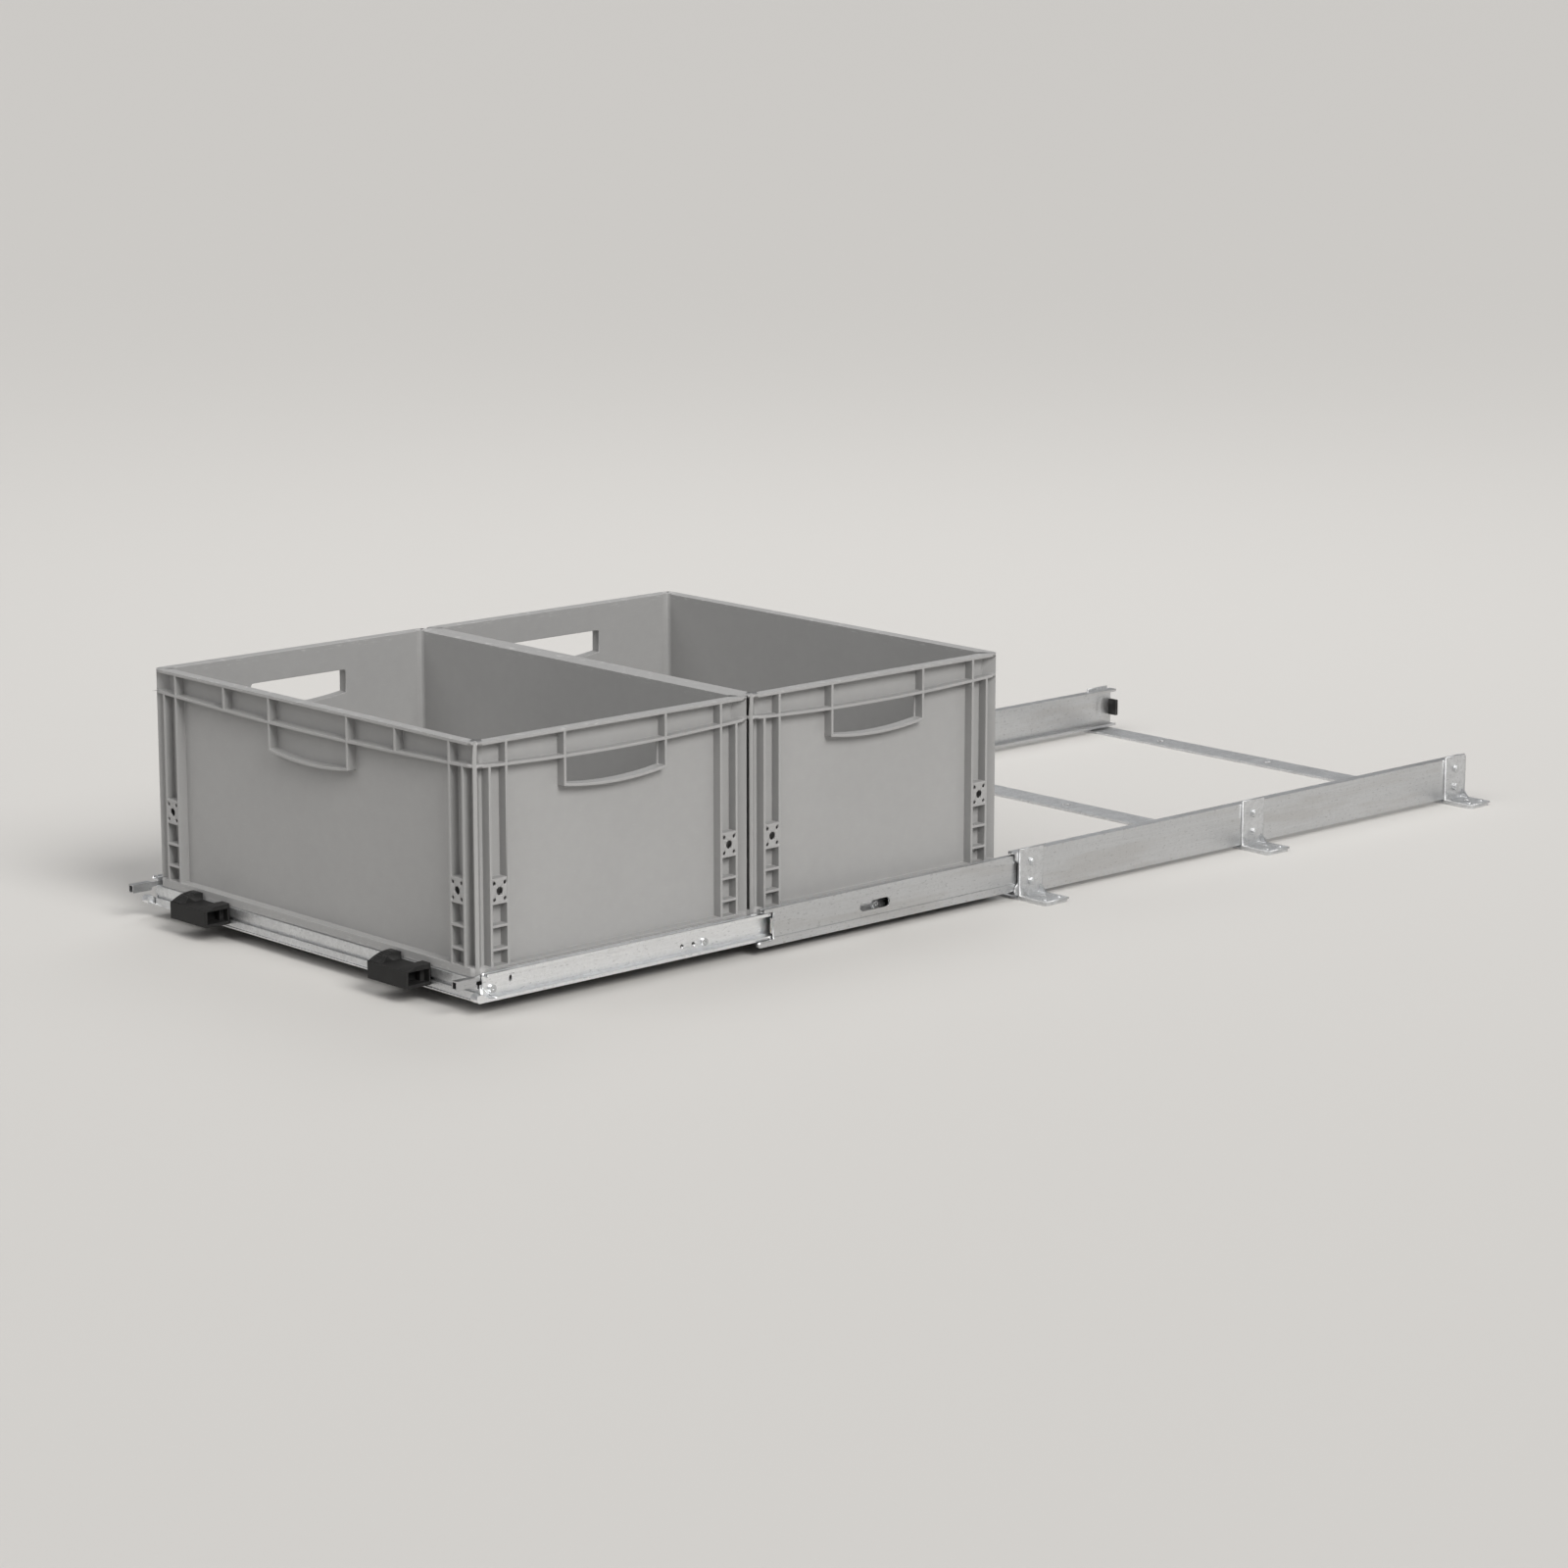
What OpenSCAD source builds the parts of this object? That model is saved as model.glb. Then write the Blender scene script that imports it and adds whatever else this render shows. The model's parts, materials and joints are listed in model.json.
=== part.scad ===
// Pull-out carrier with two open stacking crates.
// A frame of three floor bars holds a pair of full-extension slides. A carriage of folded rails
// hangs between the slides, and each crate drops into it by its stacking foot.
// X runs left to right as seen from the front, the carriage pulls out along -Y, and Z is up.
// The origin is the centre of the floor bolt pattern, on the floor.

/* [Crates] */
// Length of a crate, left to right
crate_l = 600; // [500:50:700]
// Width of a crate, front to back
crate_w = 400; // [300:50:450]
// Height of a crate above the rails that carry it
crate_h = 260; // [200:10:320]
// Thickness of the moulded walls
wall = 2.8; // [2:0.2:4]
// How far rim, ribs and base band stand out from the walls
rib_depth = 12; // [8:1:15]
// Width of the grip frames
grip_w = 146; // [110:2:170]

/* [Slides] */
// Length of the fixed rails
rail_len = 850; // [820:10:1000]
// Height of the fixed rails
fixed_h = 53; // [53:1:60]
// Height of the slide centre line above the floor
slide_z = 32.5; // [32:0.5:40]
// Radius of the bearing balls
ball_r = 2.2; // [2:0.1:2.3]
// Spacing of the bearing balls
ball_pitch = 25; // [15:5:50]
// Length of the ball cages
cage_len = 400; // [250:10:400]

/* [Floor frame] */
// Distance between the left and right floor bolts
bolt_span = 690; // [680:5:720]
// Distance between the front and rear floor bolts
bolt_reach = 800; // [700:10:800]
// Radius of the floor bolt holes
bolt_hole_r = 4.5; // [3:0.5:6]
// Thickness of the floor bars
bar_t = 3; // [2:0.5:3.5]

/* [Catches] */
// Distance of each catch from the middle of the front rail
catch_x = 188; // [120:4:220]
// How far a catch button is pressed
button_travel = 7; // [4:1:7]

/* [Hidden] */
$fn = 48;
eps = 0.01;

// Heights
base_z = 40;                     // plane that carries the crates
foot_h = 10;                     // stacking foot below that plane
run = 0.3;                       // air between pieces that move past each other

// Crate
rim_r = 12;                      // corner radius of rim, rib and band
rim_t = 3.5;                     // thickness of the rim flange
rib_t = 3.5;                     // thickness of the curved rib under the rim
rib_z = 230;                     // top of that rib at the middle of a face
rib_dip = 6;                     // how far it dips between the corners
band_h = 10;                     // height of the base band
post_t = 3.4;                    // thickness of the upright ribs
mid_off = 21.5;                  // upright ribs, measured from the corner
inner_off = 44.7;
rung_z = [28, 54, 80, 106];      // rungs of the corner ladders
rung_t = 3;
star_t = 2.6;                    // pierced plate between the top two rungs
grip_z = 193;                    // lowest point of the grip frame
grip_dip = 6;
grip_hole_w = 140;               // hole inside the grip frames of the short walls
floor_t = 3;
foot_in = 16;                    // how far the foot is set in from the rim
foot_ribs = [4, 3];              // ribs under the floor, across and along

// Slides: u is the distance outwards from the carriage side, v the height from the centre line
side_gap = 4.6;                  // air between crate and slide
slide_x = crate_l / 2 + side_gap;
mid_top = 22;                    // half height of the middle rail
drawer_top = 15.5;               // half height of the inner rail
track_out = [11.5, 22.2];        // ball centre between fixed and middle rails
track_in = [6.25, 15.75];        // ball centre between middle and inner rails
track_r = ball_r + 0.2;
stand_off = 6;                   // gap from the rear crate to the fixed rails
nose = 14;                       // how far the inner rails run ahead of the crates
load_y = -rail_len / 2 - stand_off - 2 * crate_w;      // front of the front crate
travel = 2 * crate_w + stand_off + nose + 10;          // full pull-out
drawer_y = [load_y - nose, load_y - nose + rail_len - 16];
middle_y = [-(rail_len - 10) / 2 - travel / 2, (rail_len - 10) / 2 - travel / 2];
fixed_y = [-rail_len / 2, rail_len / 2];
outer_cage_y = -rail_len / 2 + 7;
inner_cage_y = middle_y[0] + 35.5;
cage_t = 0.8;

// Floor frame
bar_w = 40;
bar_ys = [-bolt_reach / 2, 0, bolt_reach / 2];
bracket_t = 2.5;
bracket_x = slide_x + 19.2;
foot_end = bolt_span / 2 + 25;

// Carriage
sheet = 2.3;
bed_z = base_z - run;            // top of the folded rails
ledge_in = crate_l / 2 - foot_in + 1;
rail_low = 15;                   // lowest edge of the front rail
face_y = -3;                     // its face, from the front of the crates
gauge = 1.8;
groove_z = [24.8, 28.8];         // groove along the face
groove_d = 6;
screw_ys = [15, 322, 588, 780];  // carriage screws, from the front of the crates
screw_v = -4;
spare_ys = [289, 306, 620, 720];

// Catches
catch_w = 72;
catch_y = [-38, face_y];         // front and back, from the front of the crates
catch_z = 20;
catch_screw_z = 33.6;
catch_screw_x = [-10, 8];        // measured from the middle of the catch
catch_top = 39.5;                // top of the housing, apart from the raised right end
button_x = [-34.6, -17];         // measured from the middle of the catch
well_z = 22.5;                   // floor of the button's well
button_z = [well_z + button_travel + 0.5, 48];
hood_r = 50;                     // curve of the button's top

// Release levers
pivot_y = 45;                    // from the front of the crates
pivot_v = 9.5;
lever_u = -3.3;                  // inner face of the lever plate
lever_t = 2;
tab = [9, 27, 10];               // outer size of the finger tab
tab_y = -36;
tab_v = 2.5;                     // underside of the tab
notch_y = 52;                    // length cut out of the ledge for the lever
notch_z = 34;

// ---- Helpers ---------------------------------------------------------------------------------

// A flat outline in X and Z, drawn out along Y
module along_y(y) translate([0, y[1], 0]) rotate([90, 0, 0]) linear_extrude(y[1] - y[0]) children();

// A flat outline in Y and Z, drawn out along X
module along_x(x) translate([x[0], 0, 0]) rotate([90, 0, 90]) linear_extrude(x[1] - x[0]) children();

// A box between two corners
module span(a, b) translate(a) cube(b - a);

// A flat rectangle with round corners, centred
module plate(l, w, r) {
    square([l - 2 * r, w], center = true);
    square([l, w - 2 * r], center = true);
    for (x = [-1, 1], y = [-1, 1]) translate([x * (l / 2 - r), y * (w / 2 - r)]) circle(r);
}

// A block with round upright corners, between two heights
module block(l, w, z, r) translate([0, 0, z[0]]) linear_extrude(z[1] - z[0]) plate(l, w, r);

// Cylinder along X or along Y
module rod_x(x, r) translate([x[0], 0, 0]) rotate([0, 90, 0]) cylinder(r = r, h = x[1] - x[0]);
module rod_y(y, r) translate([0, y[1], 0]) rotate([90, 0, 0]) cylinder(r = r, h = y[1] - y[0]);

// Places a piece of the right-hand slide, or its mirror image on the left
module on_side(side) mirror([side == "left" ? 1 : 0, 0, 0]) translate([slide_x, 0, slide_z]) children();

// The same piece above and below a slide's centre line
module both_edges() for (m = [0, 1]) mirror([0, m, 0]) children();

// A band that sags between its ends: top at height 0 in the middle, thickness t
module sagging_band(half, dip, t) {
    big_r = (half * half + dip * dip) / (2 * dip);
    intersection() {
        translate([0, big_r]) difference() {
            circle(big_r + t, $fn = 720);
            circle(big_r, $fn = 720);
        }
        translate([-half, -t - 1]) square([2 * half, dip + t + 2]);
    }
}

// A compression spring standing on z = 0
module coil_spring(r, wire, turns, h) {
    sides = 6;
    steps = turns * 12;
    rise = h - 2 * wire;
    pts = [for (i = [0 : steps], k = [0 : sides - 1])
        let (a = 360 * i / 12, b = 360 * k / sides, q = r + wire * cos(b))
        [q * cos(a), q * sin(a), wire + rise * i / steps + wire * sin(b)]];
    skin = [for (i = [0 : steps - 1], k = [0 : sides - 1])
        let (n = (k + 1) % sides)
        [i * sides + k, (i + 1) * sides + k, (i + 1) * sides + n, i * sides + n]];
    caps = [[for (k = [0 : sides - 1]) k], [for (k = [sides - 1 : -1 : 0]) steps * sides + k]];
    polyhedron(pts, concat(skin, caps), convexity = 8);
}

// ---- Crates ----------------------------------------------------------------------------------

// One upright rib on a long face, at x, and on a short face, at y
module long_rib(x, z) span([x - post_t / 2, -crate_w / 2, z[0]],
    [x + post_t / 2, -crate_w / 2 + rib_depth + 1, z[1]]);
module short_rib(y, z) span([crate_l / 2 - rib_depth - 1, y - post_t / 2, z[0]],
    [crate_l / 2, y + post_t / 2, z[1]]);

// The pierced plate of a corner ladder, in X and Z, its middle at the origin
module star_plate(w, h) difference() {
    square([w, h], center = true);
    circle(4.8);
    for (x = [-1, 1], z = [-1, 1]) translate([x * (w / 2 - 4.2), z * (h / 2 - 4)]) circle(2.3, $fn = 24);
}

// Ribs, rungs and pierced plates of the front right corner
module corner_post() {
    corner = [crate_l / 2, -crate_w / 2];
    gap = inner_off - mid_off;
    star_z = (rung_z[2] + rung_z[3]) / 2;
    long_rib(corner[0] - mid_off, [band_h - 1, rib_z + 2]);
    long_rib(corner[0] - inner_off, [band_h - 1, crate_h - 1]);
    short_rib(corner[1] + mid_off, [band_h - 1, rib_z + 2]);
    short_rib(corner[1] + inner_off, [band_h - 1, crate_h - 1]);
    translate([corner[0], corner[1], band_h - 1]) rotate(135) translate([0, -2.2, 0])
        cube([26, 4.4, crate_h - band_h]);
    for (z = rung_z) {
        span([corner[0] - inner_off, corner[1], z - rung_t / 2],
            [corner[0] - mid_off, corner[1] + rib_depth + 1, z + rung_t / 2]);
        span([corner[0] - rib_depth - 1, corner[1] + mid_off, z - rung_t / 2],
            [corner[0], corner[1] + inner_off, z + rung_t / 2]);
    }
    translate([corner[0] - mid_off - gap / 2, corner[1] + star_t, star_z]) rotate([90, 0, 0])
        linear_extrude(star_t) star_plate(gap, rung_z[3] - rung_z[2]);
    translate([corner[0] - star_t, corner[1] + mid_off + gap / 2, star_z]) rotate([90, 0, 90])
        linear_extrude(star_t) star_plate(gap, rung_z[3] - rung_z[2]);
}

// Frame round a grip: two upright ribs and a sagging lower edge
module long_grip() {
    for (s = [-1, 1]) long_rib(s * grip_w / 2, [grip_z + grip_dip - rib_t, crate_h - 1]);
    along_y([-crate_w / 2, -crate_w / 2 + rib_depth + 1]) translate([0, grip_z])
        sagging_band((grip_w + post_t) / 2, grip_dip, rib_t);
}
module short_grip() {
    for (s = [-1, 1]) short_rib(s * grip_w / 2, [grip_z + grip_dip - rib_t, crate_h - 1]);
    along_x([crate_l / 2 - rib_depth - 1, crate_l / 2]) translate([0, grip_z])
        sagging_band((grip_w + post_t) / 2, grip_dip, rib_t);
}

// Outline of a grip hole: it fills the frame, from the sagging edge up to the curved rib
module grip_hole() {
    half = (grip_w + post_t) / 2;
    big_r = (half * half + grip_dip * grip_dip) / (2 * grip_dip);
    low = grip_z - 5;
    high = rib_z - rib_t;
    intersection() {
        translate([0, grip_z + big_r]) circle(big_r, $fn = 720);
        translate([0, (low + high) / 2]) plate(grip_hole_w, high - low, 3);
    }
}

// Everything that stands out from the walls, trimmed to the rim's outline
module crate_ribs() intersection() {
    union() {
        for (mx = [0, 1], my = [0, 1]) mirror([mx, 0, 0]) mirror([0, my, 0]) corner_post();
        for (m = [0, 1]) mirror([0, m, 0]) {
            long_grip();
            for (s = [-1, 1]) long_rib(s * 160, [rib_z - 1, crate_h - 1]);
            along_y([-crate_w / 2, -crate_w / 2 + rib_depth + 1]) translate([0, rib_z])
                sagging_band(crate_l / 2, rib_dip, rib_t);
        }
        for (m = [0, 1]) mirror([m, 0, 0]) {
            short_grip();
            along_x([crate_l / 2 - rib_depth - 1, crate_l / 2]) translate([0, rib_z])
                sagging_band(crate_w / 2, rib_dip, rib_t);
        }
    }
    block(crate_l, crate_w, [0, crate_h], rim_r);
}

// Stacking foot: a ring under the floor, with a grid of shallow ribs
module crate_foot() {
    l = crate_l - 2 * foot_in;
    w = crate_w - 2 * foot_in;
    difference() {
        block(l, w, [-foot_h, floor_t - 2], 8);
        block(l - 6, w - 6, [-foot_h - 1, -2], 5);
    }
    for (i = [1 : foot_ribs[0]]) span([-l / 2 + i * l / (foot_ribs[0] + 1) - 1, -w / 2 + 2, -foot_h + 2],
        [-l / 2 + i * l / (foot_ribs[0] + 1) + 1, w / 2 - 2, 0]);
    for (i = [1 : foot_ribs[1]]) span([-l / 2 + 2, -w / 2 + i * w / (foot_ribs[1] + 1) - 1, -foot_h + 2],
        [l / 2 - 2, -w / 2 + i * w / (foot_ribs[1] + 1) + 1, 0]);
}

// One moulded crate, centred, its base band on z = 0
module crate() {
    inset = rib_depth + wall;
    difference() {
        union() {
            block(crate_l - 2 * rib_depth, crate_w - 2 * rib_depth, [0, crate_h], 10);
            block(crate_l, crate_w, [crate_h - rim_t, crate_h], rim_r);
            difference() {
                block(crate_l, crate_w, [0, band_h], rim_r);
                difference() {
                    block(crate_l - 6, crate_w - 6, [-1, band_h - 3], rim_r - 3);
                    block(crate_l - 2 * rib_depth, crate_w - 2 * rib_depth, [-2, band_h], 10);
                }
            }
            crate_ribs();
            crate_foot();
        }
        block(crate_l - 2 * inset, crate_w - 2 * inset, [floor_t - 2, crate_h + 1], 7.2);
        for (m = [0, 1]) mirror([m, 0, 0]) along_x([crate_l / 2 - inset - 1, crate_l / 2 - rib_depth + 1])
            grip_hole();
    }
}

module crate_front() color("#8e9092") translate([0, load_y + crate_w / 2, base_z]) crate();
module crate_rear() color("#8e9092") translate([0, load_y + crate_w * 3 / 2, base_z]) crate();

// ---- Slides ----------------------------------------------------------------------------------

// Rolled section of the fixed rail, open towards the carriage
module fixed_section() difference() {
    union() {
        translate([17.2, -fixed_h / 2]) square([2, fixed_h]);
        both_edges() {
            translate([6.6, fixed_h / 2 - 2.9]) square([12.6, 2.9]);
            translate([6.6, fixed_h / 2 - 3.5]) square([1.4, 3.5]);
        }
    }
    both_edges() translate(track_out) circle(track_r);
}

// Rolled section of the middle rail: one track inside, one outside, and a web set back between them
module middle_section() difference() {
    union() {
        translate([12.8, -mid_top + 1]) square([2, 2 * mid_top - 2]);
        both_edges() {
            translate([12.8, 12.5]) square([3.2, 8.5]);
            translate([3, 17.2]) square([13, 3]);
            translate([8.2, 17.2]) square([7.8, mid_top - 17.2]);
        }
    }
    both_edges() translate(track_out) circle(track_r);
    both_edges() translate(track_in) circle(track_r);
}

// Rolled section of the inner rail, open outwards
module drawer_section() difference() {
    union() {
        translate([0, -drawer_top + 1]) square([2, 2 * drawer_top - 2]);
        both_edges() translate([0, drawer_top - 4]) square([11.4, 4]);
    }
    both_edges() translate(track_in) circle(track_r);
}

// Holes of the fixed rail: countersunk seats at each floor bar, and an end hole
module fixed_rail(side) color("#c9cccf") on_side(side) difference() {
    along_y(fixed_y) fixed_section();
    for (y = bar_ys, v = [-12, 12]) translate([0, y, v]) {
        rod_x([16, 20], 2.6);
        rod_x([16, 18.5], 4.6);
    }
    // concave front edge of the web, leaving the rolled edges as tips
    translate([0, fixed_y[0] - 9, 0]) rod_x([16.5, 20], 19);
    translate([0, fixed_y[0] + 16, 0]) rod_x([16, 20], 2.4);
}
module fixed_rail_left() fixed_rail("left");
module fixed_rail_right() fixed_rail("right");

// The middle rail's web stops short of its rolled edges, and the lower edge ends in a round nose
module middle_rail(side) color("#b9bcbf") on_side(side) {
    web_y = middle_y[0] + 21;
    slot_y = load_y + 577;
    difference() {
        along_y(middle_y) middle_section();
        span([-1, middle_y[0] - 1, -17.3], [17, web_y, 17.3]);
        span([-1, middle_y[0] - 1, 0], [17, middle_y[0] + 6, mid_top + 1]);
        // the long slot through which the inner rail's screws are reached
        translate([12, slot_y, 0]) rotate([90, 0, 90]) linear_extrude(5) plate(48, 11, 5.4);
        translate([0, middle_y[1] - 12, 0]) rod_x([12, 18], 3);
    }
    // closed toe of the lower edge
    difference() {
        union() {
            span([14, middle_y[0], -mid_top], [16, middle_y[0] + 22, -15]);
            translate([0, middle_y[0], -mid_top + 3.5]) rod_x([14, 16], 3.5);
        }
        translate([0, middle_y[0] + 2, -mid_top + 3.5]) rod_x([13, 17], 1.6);
        clear_outer_tracks([middle_y[0] - 5, middle_y[0] + 30]);
    }
}
module clear_outer_tracks(y) along_y(y) both_edges() translate(track_out) circle(track_r);
module middle_rail_left() middle_rail("left");
module middle_rail_right() middle_rail("right");

// Moulded bumper in the front end of each middle rail
module middle_bumper(side) color("#bdbab0") on_side(side) difference() {
    union() {
        span([8.6, middle_y[0] + 21, -9], [12.75, middle_y[0] + 27, 9]);
        span([11.4, middle_y[0] + 27, -5], [12.75, middle_y[0] + 34, 5]);
    }
    translate([0, middle_y[0] + 30.5, 0]) rod_x([11, 14], 1.5);
}
module middle_bumper_left() middle_bumper("left");
module middle_bumper_right() middle_bumper("right");

// Upright oval hole near the front of the inner rail, which goes on through the ledge behind it
module latch_hole(depth) translate([0, 41, 2.5]) rotate([90, 0, 90]) linear_extrude(depth) plate(4, 8, 1.9);

// The inner rail: its web starts behind the lower edge, which ends in a hooked nose
module drawer_rail(side) color("#dfe1e3") on_side(side) {
    web_y = load_y + 2;
    low = -drawer_top;
    difference() {
        along_y([web_y, drawer_y[1]]) drawer_section();
        translate([-1, load_y, 0]) latch_hole(4);
        for (y = concat(screw_ys, spare_ys)) translate([0, load_y + y, screw_v]) rod_x([-1, 3], 2.6);
        // slanted slit that separates the web from the hooked nose
        translate([-1, web_y - 2, -1]) rotate([-42, 0, 0]) cube([13, 18, 1.4]);
        translate([0, load_y + pivot_y, pivot_v]) rod_x([-1, 3], 1.95);
    }
    difference() {
        along_y([drawer_y[0] + 4, web_y + eps]) difference() {
            translate([0, low]) square([11.4, 4]);
            translate([track_in[0], -track_in[1]]) circle(track_r);
        }
        span([2, drawer_y[0] - 1, low + 4], [12, web_y, 0]);
    }
    along_x([0, 11.4]) polygon([[web_y + 1, low], [drawer_y[0] + 5, low], [drawer_y[0] + 1, low + 2],
        [drawer_y[0], low + 5], [drawer_y[0] + 2, low + 9], [drawer_y[0] + 8, low + 10],
        [web_y + 1, low + 4]]);
}
module drawer_rail_left() drawer_rail("left");
module drawer_rail_right() drawer_rail("right");

ball_count = floor(cage_len / ball_pitch);
module rows(y0) for (i = [0 : ball_count - 1])
    translate([0, y0 + ball_pitch / 2 + i * ball_pitch, 0]) children();

// Ball cages: two pierced strips joined by a thin web
module cage(y0, strip, track, web, v) difference() {
    along_y([y0, y0 + cage_len]) polygon([[strip, v + cage_t], [web + cage_t, v + cage_t],
        [web + cage_t, -v - cage_t], [strip, -v - cage_t], [strip, -v], [web, -v], [web, v], [strip, v]]);
    rows(y0) for (s = [-1, 1]) translate([track[0], 0, s * track[1] - 3]) cylinder(r = ball_r + 0.1, h = 6);
    for (i = [1 : 4]) translate([web - 1, y0 + (i - 0.125) * cage_len / 5, 0]) rotate([90, 0, 90])
        linear_extrude(3) plate(60, 16, 4);
}
module outer_cage(side) color("#9fa3a6") on_side(side)
    cage(outer_cage_y, 8.4, track_out, 16.2, 22.4);
module inner_cage(side) color("#9fa3a6") on_side(side)
    cage(inner_cage_y, 3.4, track_in, 11.7, 15.95);
module outer_cage_left() outer_cage("left");
module outer_cage_right() outer_cage("right");
module inner_cage_left() inner_cage("left");
module inner_cage_right() inner_cage("right");

module balls(side, y0, track) color("#e6e7e8") on_side(side) rows(y0)
    for (s = [-1, 1]) translate([track[0], 0, s * track[1]]) sphere(ball_r, $fn = 20);
module outer_balls_left() balls("left", outer_cage_y, track_out);
module outer_balls_right() balls("right", outer_cage_y, track_out);
module inner_balls_left() balls("left", inner_cage_y, track_in);
module inner_balls_right() balls("right", inner_cage_y, track_in);

// Rubber blocks that the middle rails close against
module closing_buffers() color("#1e1f20") for (side = ["left", "right"]) on_side(side)
    span([3, middle_y[1] + travel / 2 + 0.6, -11], [17.15, fixed_y[1], 11]);

// ---- Floor frame -----------------------------------------------------------------------------

module floor_bar(y) color("#c4c7ca") difference() {
    translate([0, y, 0]) block(2 * foot_end, bar_w, [0, bar_t], 6);
    for (s = [-1, 1]) translate([s * bolt_span / 2, y, -1]) cylinder(r = bolt_hole_r, h = bar_t + 2);
    for (s = [-1, 1], d = [-12, 12]) translate([s * (foot_end - 10), y + d, -1]) {
        cylinder(r = 2, h = bar_t + 2);
        cylinder(r = 3.6, h = 2.2);
    }
    for (x = [-200, 0, 200]) translate([x, y, -1]) cylinder(r = 6, h = bar_t + 2);
}
module floor_bar_front() floor_bar(bar_ys[0]);
module floor_bar_middle() floor_bar(bar_ys[1]);
module floor_bar_rear() floor_bar(bar_ys[2]);

// Folded angles that hold a fixed rail above the bars
module rail_bracket(y) difference() {
    translate([0, y, 0]) {
        span([bracket_x, -bar_w / 2, bar_t], [foot_end, bar_w / 2, bar_t + bracket_t]);
        span([bracket_x, -bar_w / 2, bar_t], [bracket_x + bracket_t, bar_w / 2, slide_z + 30]);
        // pressed corner gussets
        for (s = [-1, 1]) translate([bracket_x, s * (bar_w / 2 - 4) - 1.5, bar_t + 1]) rotate([90, 0, 0])
            translate([0, 0, -3]) linear_extrude(3) polygon([[1, 0], [14, 0], [1, 14]]);
    }
    translate([bolt_span / 2, y, 0]) cylinder(r = bolt_hole_r, h = 20);
    for (d = [-12, 12]) translate([foot_end - 10, y + d, 0]) cylinder(r = 2, h = 20);
    for (v = [-12, 12]) translate([0, y, slide_z + v]) rod_x([bracket_x - 1, bracket_x + 4], 2.6);
}
module rail_brackets_right() color("#cfd2d4") for (y = bar_ys) rail_bracket(y);
module rail_brackets_left() color("#cfd2d4") mirror([1, 0, 0]) for (y = bar_ys) rail_bracket(y);

// Countersunk screws with nuts, from each fixed rail into its brackets
module bracket_screws() color("#d6d8da") for (side = ["left", "right"], y = bar_ys, v = [-12, 12])
    on_side(side) translate([0, y, v]) {
        rod_x([17.4, 18.5], 4.5);
        rod_x([18, 26], 2.5);
        translate([21.7, 0, 0]) rotate([0, 90, 0]) cylinder(r = 4.6, h = 3.6, $fn = 6);
    }

// Rivets that join each bracket's foot to its floor bar
module bar_rivets() color("#bfc2c5") for (x = [-1, 1], y = bar_ys, d = [-12, 12])
    translate([x * (foot_end - 10), y + d, 0]) {
        translate([0, 0, 0.1]) cylinder(r = 3.5, h = 1);
        translate([0, 0, 0.5]) cylinder(r = 1.95, h = bar_t + bracket_t);
        translate([0, 0, bar_t + bracket_t]) cylinder(r = 3.6, h = 1.4);
    }

// ---- Carriage --------------------------------------------------------------------------------

// Angle along each side: its top carries the crates, its upright leg is screwed to the slide
module side_ledge(side) color("#b4b7ba") mirror([side == "left" ? 1 : 0, 0, 0]) difference() {
    union() {
        span([ledge_in, load_y, bed_z - sheet], [slide_x, load_y + 2 * crate_w, bed_z]);
        span([slide_x - sheet, load_y, 19], [slide_x, load_y + 2 * crate_w, bed_z]);
    }
    for (y = concat(screw_ys, spare_ys))
        translate([0, load_y + y, slide_z + screw_v]) rod_x([slide_x - 4, slide_x + 1], 2.6);
    translate([slide_x - 4, load_y, slide_z]) latch_hole(5);
    lever_notch();
}
// Room for the release lever at the front outer corner of the bed
module lever_notch() span([crate_l / 2 + 0.5, load_y - 10, notch_z], [slide_x + 1, load_y + notch_y, base_z + 1]);
module side_ledge_left() side_ledge("left");
module side_ledge_right() side_ledge("right");

// A rail across the carriage. Where it passes under the ledges its top is cut away, apart from the
// stretch keep of its section, which lies outside them.
module cross_rail(y, keep = [0, 0]) {
    low = bed_z - sheet - 0.2;
    half = slide_x - sheet;
    along_x([-ledge_in + run, ledge_in - run]) translate([y, 0]) children();
    for (m = [0, 1]) mirror([m, 0, 0]) along_x([ledge_in - run - eps, half]) translate([y, 0]) intersection() {
        children();
        union() {
            translate([-40, 0]) square([80, low]);
            if (keep[1] > keep[0]) translate([keep[0], 0]) square([keep[1] - keep[0], bed_z]);
        }
    }
}

// Folded front rail: crate seat on top, a face with one deep groove along it, and a lower return
module front_section() {
    translate([face_y, bed_z - sheet]) square([foot_in + 2, sheet]);
    translate([face_y, groove_z[1]]) square([gauge, bed_z - groove_z[1]]);
    for (z = [groove_z[0] - gauge, groove_z[1]]) translate([face_y, z]) square([groove_d, gauge]);
    translate([face_y + groove_d - gauge, groove_z[0] - gauge])
        square([gauge, groove_z[1] - groove_z[0] + 2 * gauge]);
    translate([face_y, rail_low]) square([gauge, groove_z[0] - rail_low]);
    translate([-4.5, rail_low]) square([14, 2]);
}
module front_rail() color("#b9bcbf") difference() {
    cross_rail(load_y, [-10, -0.2]) front_section();
    for (s = [-1, 1], d = catch_screw_x) translate([s * catch_x + d, load_y, catch_screw_z]) rod_y([-5, 2], 2.1);
    for (m = [0, 1]) mirror([m, 0, 0]) lever_notch();
}

// Inverted channel under the joint between the crates
module centre_rail() color("#b4b7ba") cross_rail(load_y + crate_w) {
    translate([-14, 19]) square([2, bed_z - 19]);
    translate([12, 19]) square([2, bed_z - 19]);
    translate([-14, bed_z - sheet]) square([28, sheet]);
}

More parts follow.
